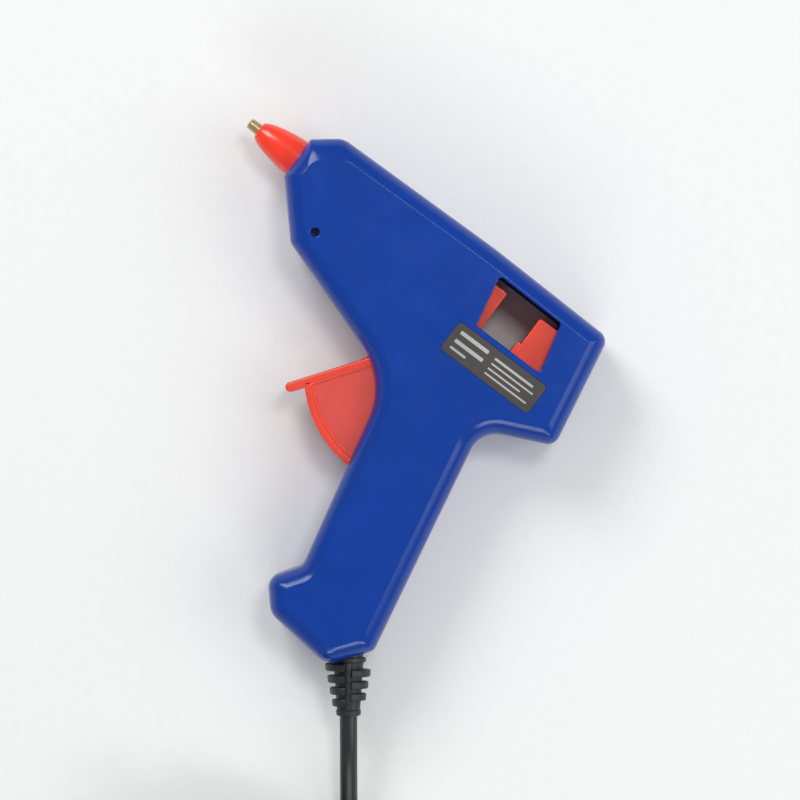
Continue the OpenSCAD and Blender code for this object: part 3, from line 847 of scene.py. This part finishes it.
def build_inlet_guide():
    """The tube that leads the stick in, moulded on the shells, and two bars over the spring."""
    bm = bmesh.new()
    start, end, outer_r = 109.5, 116, 6
    profile = [
        (start, INLET_R), (start, outer_r - 0.3), (start + 0.3, outer_r), (end, outer_r),
        (end, INLET_R), (start, INLET_R),
    ]
    turned_body(bm, profile, along_barrel, 64, close_ends=False)
    bmesh.ops.remove_doubles(bm, verts=bm.verts, dist=WELD)
    for x in (66, 73.2):
        slab(bm, box_corners(x, 7, x + 2, 9, 0.5), -11, 11, 0.3)
    finish_mesh(bm, "inlet_guide", MATERIALS["shell_blue"])


build_inlet_guide()


def build_label():
    bm = bmesh.new()
    slab(bm, box_corners(LABEL_X, LABEL_Y, 110.1, -9.4, 1.25), 13.26, 13.43, 0.06, 6)
    piece(bm, "label_plate", "rating_label")
    # Plain bars in place of print: start and end from the label's left, middle, height
    rows = [
        (2.0, 11.8, -11.7, 1.1), (2.0, 11.8, -14.5, 1.1), (2.0, 7.4, -16.8, 0.7),
        (14.2, 27.6, -11.9, 0.7), (14.2, 28.8, -13.6, 0.5), (14.2, 25.4, -15.2, 0.5),
        (14.2, 28.8, -16.8, 0.5),
    ]
    lines = bmesh.new()
    for start, end, y, h in rows:
        corners = box_corners(LABEL_X + start, y - h / 2, LABEL_X + end, y + h / 2, h * 0.3)
        slab(lines, corners, 13.41, LABEL_TOP, 0.01, 3)
    paint = plastic(
        "label_print", (0.4, 0.4, 0.4), rough=0.5, spread=0.15, grain=1500.0, bump=0.05,
        depth=0.00001,
    )
    finish_mesh(lines, "label_bars", paint)


build_label()


# ---- nozzle boot ----

def build_boot():
    """A cone with a rounded mouth, which a flange holds inside the collar."""
    bm = bmesh.new()
    mouth, mouth_r = 0.4, 1.8
    outer = smooth_path([
        (mouth, 1.95, 0), (0.5, 2.3, 0), (0.85, 2.7, 0), (1.5, 3.08, 0), (2.6, 3.6, 0),
        (4.2, 4.12, 0), (6.5, 4.68, 0), (9, 5.12, 0), (11.6, 5.48, 0), (14.1, 5.7, 0),
    ], 5)
    flange = [(16.6, 5.7), (16.6, 6.3), (17.9, 6.3), (17.9, 4.25)]
    inner = [(13.4, 4.25), (13.4, 3.25), (8, 3.05), (mouth, mouth_r)]
    profile = [(mouth, mouth_r)] + [(p.x, p.y) for p in outer] + flange + inner
    turned_body(bm, profile, along_barrel, 96, close_ends=False)
    bmesh.ops.remove_doubles(bm, verts=bm.verts, dist=WELD)
    piece(bm, "boot_cone", "nozzle_boot")


build_boot()


# ---- strain relief ----

RELIEF_BLOCK = 2.1
BLOCK_STEP = 3.4
BLOCK_ROOT_R = 3


def relief_radius(s):
    """The blocks get smaller away from the housing."""
    return 6.7 - (s - 2) * 0.19


def arc_block(bm, s1, s2, r1, r2, start, end, steps=14):
    """A rounded block that wraps part of the way round the relief."""
    edge = 0.35
    section = [
        (s1, r1), (s1, r2 - edge), (s1 + edge * 0.3, r2 - edge * 0.3), (s1 + edge, r2),
        (s2 - edge, r2 - 0.1), (s2 - edge * 0.3, r2 - edge * 0.3 - 0.1),
        (s2, r2 - edge - 0.1), (s2, r1),
    ]
    loops = []
    for k in range(steps + 1):
        a = math.radians(start + (end - start) * k / steps)
        loops.append([bm.verts.new(cord_axis(s, r, a)) for s, r in section])
    bridge_all(bm, loops)
    bm.faces.new(loops[0])
    bm.faces.new(loops[-1])


def build_relief():
    bm = bmesh.new()
    bore_r = 2.55
    # Flange behind the wall, neck in the wall, collar, tapered stem and end ring
    core = [
        (-5.4, bore_r), (-5.4, 5.5), (-3.8, 5.5), (-3.8, 4.2), (0.2, 4.2), (0.4, 5.0),
        (1.5, 5.0), (1.7, 4.4),
    ]
    core += [(2 + k, 4.25 - 0.07 * k) for k in range(1, 13)]
    core += [(15.2, 3.35), (15.5, 3.6), (16.6, 3.5), (RELIEF_LEN, 3.1)]
    core += [(RELIEF_LEN, bore_r), (-5.4, bore_r)]
    turned_body(bm, core, cord_axis, 56, close_ends=False)
    bmesh.ops.remove_doubles(bm, verts=bm.verts, dist=WELD)
    # Half rings in two staggered rows, one on each side
    for k in range(4):
        for middle, start in ((180, 2.0), (0, 3.7)):
            s = start + BLOCK_STEP * k
            if s + RELIEF_BLOCK < 15.6:
                arc_block(bm, s, s + RELIEF_BLOCK, BLOCK_ROOT_R, relief_radius(s),
                          middle - 80, middle + 80)
    # A spine down each open side
    for middle in (90, 270):
        arc_block(bm, 1.5, 15.3, BLOCK_ROOT_R, 4.35, middle - 9, middle + 9, 4)
    piece(bm, "cord_relief", "strain_relief")


build_relief()


# ---- feed carriage ----

CARRIAGE_FRONT, CARRIAGE_BACK = 79, 107
CARRIAGE_TOP, CARRIAGE_LOW = 5.2, -11.4
CARRIAGE_W = 8.6
CARRIAGE_GAP = 5.6
STICK_BORE_R = 3.9


def build_carriage():
    """A base with a block at the front and two at the back, and a stick bore."""
    bm = bmesh.new()
    slab(bm, box_corners(CARRIAGE_FRONT, -11.5, CARRIAGE_BACK, -9.3, 0.3), -11, 11, 0.3, 4)
    front = box_corners(CARRIAGE_FRONT, CARRIAGE_LOW, 85.2, CARRIAGE_TOP, 0.7)
    slab(bm, front, -CARRIAGE_W, CARRIAGE_W, 0.5, 5)
    back = [
        (96.8, CARRIAGE_TOP, 0.9), (CARRIAGE_BACK, CARRIAGE_TOP, 0.9),
        (CARRIAGE_BACK, CARRIAGE_LOW, 0.3), (96.8, CARRIAGE_LOW, 0.3),
    ]
    for side in (-1, 1):
        low, high = sorted((side * CARRIAGE_GAP, side * CARRIAGE_W))
        slab(bm, back, low, high, 0.5, 5)
        # A low step in front of the block
        low, high = sorted((side * CARRIAGE_GAP, side * 8.2))
        slab(bm, box_corners(95.7, -11.2, 97.4, -4, 0.4), low, high, 0.3, 4)
    obj = piece(bm, "feed_carriage", "carriage", "carriage")

    def bore(cut):
        turned_body(cut, [(77, STICK_BORE_R), (86, STICK_BORE_R)], along_barrel, 48)

    carve(obj, [cutter(bore)])
    weigh_normals(obj)


build_carriage()


# ---- trigger ----

TRIGGER_R = 33.2
TRIGGER_HALF = 6.5
WEB_HALF = 5.9
# Angles about the pivot where the web and the rim end, inside the handle
WEB_END, RIM_END = -82, -81.5
RIM_T = 2.0
BAR_TOP, BAR_TIP = Vector((68.9, -27)), Vector((50.7, -52.4))
BAR_T = 2.8
BAR_ALONG = (BAR_TIP - BAR_TOP).normalized()
BAR_IN = Vector((-BAR_ALONG.y, BAR_ALONG.x))
LINK_PIN = (82.107, -14.795)
LINK_EYE_HALF = 2.6
HUB_HALF = 4.2


def clockwise(points):
    """The points in the order that rounded_ring takes."""
    area = sum(a[0] * b[1] - b[0] * a[1] for a, b in zip(points, points[1:] + points[:1]))
    return points if area < 0 else points[::-1]


def plate(bm, points, low, high, fillet):
    """A slab from an outline that already has its own rounding."""
    slab(bm, clockwise([(x, y, 0) for x, y in points]), low, high, fillet, 0)


def arc_points(r, start, end, steps):
    """An arc about the trigger's pivot, between two angles in degrees."""
    made = []
    for k in range(steps + 1):
        a = math.radians(start + (end - start) * k / steps)
        made.append((PIVOT[0] + r * math.cos(a), PIVOT[1] + r * math.sin(a)))
    return made


def bar_crossing(r, depth):
    """The angle about the pivot where a line in the bar, so deep in it, meets radius r."""
    start = BAR_TOP + BAR_IN * depth - Vector(PIVOT)
    along = start.dot(BAR_ALONG)
    reach = -along + math.sqrt(along ** 2 - start.length_squared + r * r)
    spot = start + BAR_ALONG * reach
    return math.degrees(math.atan2(spot.y, spot.x))


def handle_edge(inset, reach):
    """The front edge of the handle by the trigger, from below to above."""
    steps = 16
    ring = rounded_ring(HOUSING, inset, steps, LEAST_FILLET)
    arc = [Vector(p) for p in ring[11 * (steps + 1):12 * (steps + 1)]]
    down = (arc[0] - arc[1]).normalized()
    low = arc[0]
    while (low - Vector(PIVOT)).length < reach:
        low = low + down * 0.25
    return [tuple(low)] + [tuple(p) for p in arc[:-2]]


def build_trigger():
    bm = bmesh.new()
    # Recessed side panels, one solid web, which take the darker red of painted shade
    inner = TRIGGER_R - RIM_T / 2
    panel = arc_points(inner, bar_crossing(inner, BAR_T / 2), WEB_END, 30)
    panel += [(83.5, -40), (81.5, -27), (78.5, -25), tuple(BAR_TOP + BAR_IN * BAR_T / 2)]
    plate(bm, panel, -WEB_HALF, WEB_HALF, 0.25)
    # Strip along the handle, and a finer line beside it
    for start, end, half in ((-3.3, 1.2, 6.1), (-4.0, -3.2, 5.98)):
        strip = handle_edge(start, TRIGGER_R - 1) + handle_edge(end, TRIGGER_R - 1)[::-1]
        plate(bm, strip, -half, half, 0.15)
    shaded_panel_faces = len(bm.faces)
    # Lower rim
    rim = arc_points(TRIGGER_R, bar_crossing(TRIGGER_R, BAR_T / 2), RIM_END, 40)
    low_r = TRIGGER_R - RIM_T
    rim += arc_points(low_r, RIM_END, bar_crossing(low_r, BAR_T / 2), 40)
    plate(bm, rim, -TRIGGER_HALF, TRIGGER_HALF, 0.4)
    # A finer step inside the rim
    step_r = low_r + 0.3
    step_in = step_r - 1.3
    step = arc_points(step_r, bar_crossing(step_r, BAR_T / 2), WEB_END, 40)
    step += arc_points(step_in, WEB_END, bar_crossing(step_in, BAR_T / 2), 40)
    plate(bm, step, -6.15, 6.15, 0.2)
    # Front bar, with its rounded lip
    tip = BAR_TIP + BAR_ALONG * 1.4
    bar = [
        (*BAR_TOP, 0.6), (*(BAR_TOP + BAR_IN * BAR_T), 0.6),
        (*(tip + BAR_IN * BAR_T), 1.35), (*tip, 1.35),
    ]
    slab(bm, clockwise(bar), -TRIGGER_HALF, TRIGGER_HALF, 0.75, 8)
    # Hub, and the arms that pull the link
    x, y = PIVOT
    hub = box_corners(x - HUB_HALF, y - HUB_HALF, x + HUB_HALF, y + HUB_HALF, 4.15)
    slab(bm, hub, -TRIGGER_HALF, TRIGGER_HALF, 0.3, 10)
    eye_x, eye_y = LINK_PIN
    arm = [
        (eye_x - LINK_EYE_HALF, eye_y + LINK_EYE_HALF, 2.5),
        (eye_x + LINK_EYE_HALF, eye_y + LINK_EYE_HALF, 2.5),
        (x + 3, y, 0.5), (x - 3, y, 0.5),
    ]
    for low, high in ((2.2, 4.4), (-4.4, -2.2)):
        slab(bm, arm, low, high, 0.2, 8)
    # The panels and strips built so far take the darker red, painted shade of the recess
    bm.faces.ensure_lookup_table()
    for face in bm.faces[:shaded_panel_faces]:
        face.material_index = 1
    obj = piece(bm, "trigger_blade", "trigger", "trigger")
    obj.data.materials.append(SHADED_PANEL_RED)
    weigh_normals(obj)


build_trigger()


# ---- springs ----

def helix_points(x1, x2, r, turns, steps):
    """Round the barrel axis, with so many points to a turn."""
    made = []
    for k in range(turns * steps + 1):
        a = 2 * math.pi * k / steps
        x = x1 + (x2 - x1) * k / (turns * steps)
        made.append(Vector((x, r * math.cos(a), r * math.sin(a))))
    return made


def build_spring(name, node, x1, x2, r, turns, wire):
    """A coil of wire of radius wire."""
    bm = bmesh.new()
    path = helix_points(x1, x2, r, turns, 28)
    loops = []
    for i, p in enumerate(path):
        along = (path[min(i + 1, len(path) - 1)] - path[max(i - 1, 0)]).normalized()
        side = along.cross(Vector((1, 0, 0))).normalized()
        top = side.cross(along)
        loops.append([
            bm.verts.new(at(*(p + wire * (side * math.cos(a) + top * math.sin(a)))))
            for a in (2 * math.pi * k / 10 for k in range(10))
        ])
    bridge_all(bm, loops)
    bm.faces.new(loops[0])
    bm.faces.new(loops[-1])
    obj = piece(bm, name, node)
    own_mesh(obj)


build_spring(
    "carriage_spring", "return_spring", x1=68.5, x2=78.5, r=5.2, turns=4, wire=0.4,
)
build_spring(
    "drip_spring", "valve_spring", x1=3.7, x2=7.3, r=1.1, turns=4, wire=0.15,
)


# ---- floor and light ----

FLOOR_HALF = 6.0
# The floor lies this far below the gun, in metres, so that they don't flicker
FLOOR_DROP = 0.0001


def build_floor():
    mesh = bpy.data.meshes.new("floor")
    h = FLOOR_HALF
    corners = [(-h, -h, 0), (h, -h, 0), (h, h, 0), (-h, h, 0)]
    mesh.from_pydata(corners, [], [(0, 1, 2, 3)])
    floor = bpy.data.objects.new("floor", mesh)
    floor.location = (0, 0, ORIGIN.z - HALF_T * MM - FLOOR_DROP)
    bpy.context.scene.collection.objects.link(floor)
    material, nodes, links, shader, coords = material_base("floor_paper")
    grain = noise(nodes, links, coords, 300.0, 4.0)
    links.new(mix_colours(nodes, links, grain, (0.78, 0.78, 0.77), (0.82, 0.82, 0.81)),
              shader.inputs["Base Color"])
    shader.inputs["Roughness"].default_value = 0.8
    mesh.materials.append(material)


def area_light(name, where, towards, size, power, tall=None):
    data = bpy.data.lights.new(name, "AREA")
    data.shape = "RECTANGLE"
    data.size = size
    data.size_y = tall or size
    data.energy = power
    light = bpy.data.objects.new(name, data)
    light.location = where
    light.rotation_mode = "QUATERNION"
    light.rotation_quaternion = (Vector(towards) - Vector(where)).to_track_quat("-Z", "Y")
    bpy.context.scene.collection.objects.link(light)


def image_point(right, up, height):
    """A place given as the camera sees it, in metres from the middle of the picture."""
    x, y = turned(right, up, VIEW_TURN)
    return at(*VIEW_MIDDLE) + Vector((x, y, height))


build_floor()
middle = image_point(0, 0, 0)
area_light("key", image_point(-0.55, 0.85, 0.85), middle, size=0.55, power=8.6)
area_light("fill", image_point(0.95, -0.15, 0.75), middle, size=0.8, power=4.3)
area_light("low_strip", image_point(0.1, -1.0, 0.55), middle, size=0.9, power=3.6, tall=0.2)
area_light("overhead", image_point(0.3, 0.4, 1.4), middle, size=0.3, power=4.6)

world = bpy.data.worlds.new("studio")
bpy.context.scene.world = world
world.use_nodes = True
background = world.node_tree.nodes["Background"]
background.inputs["Color"].default_value = (0.95, 0.97, 1.0, 1.0)
background.inputs["Strength"].default_value = 0.4
bpy.context.scene.view_settings.view_transform = "Standard"
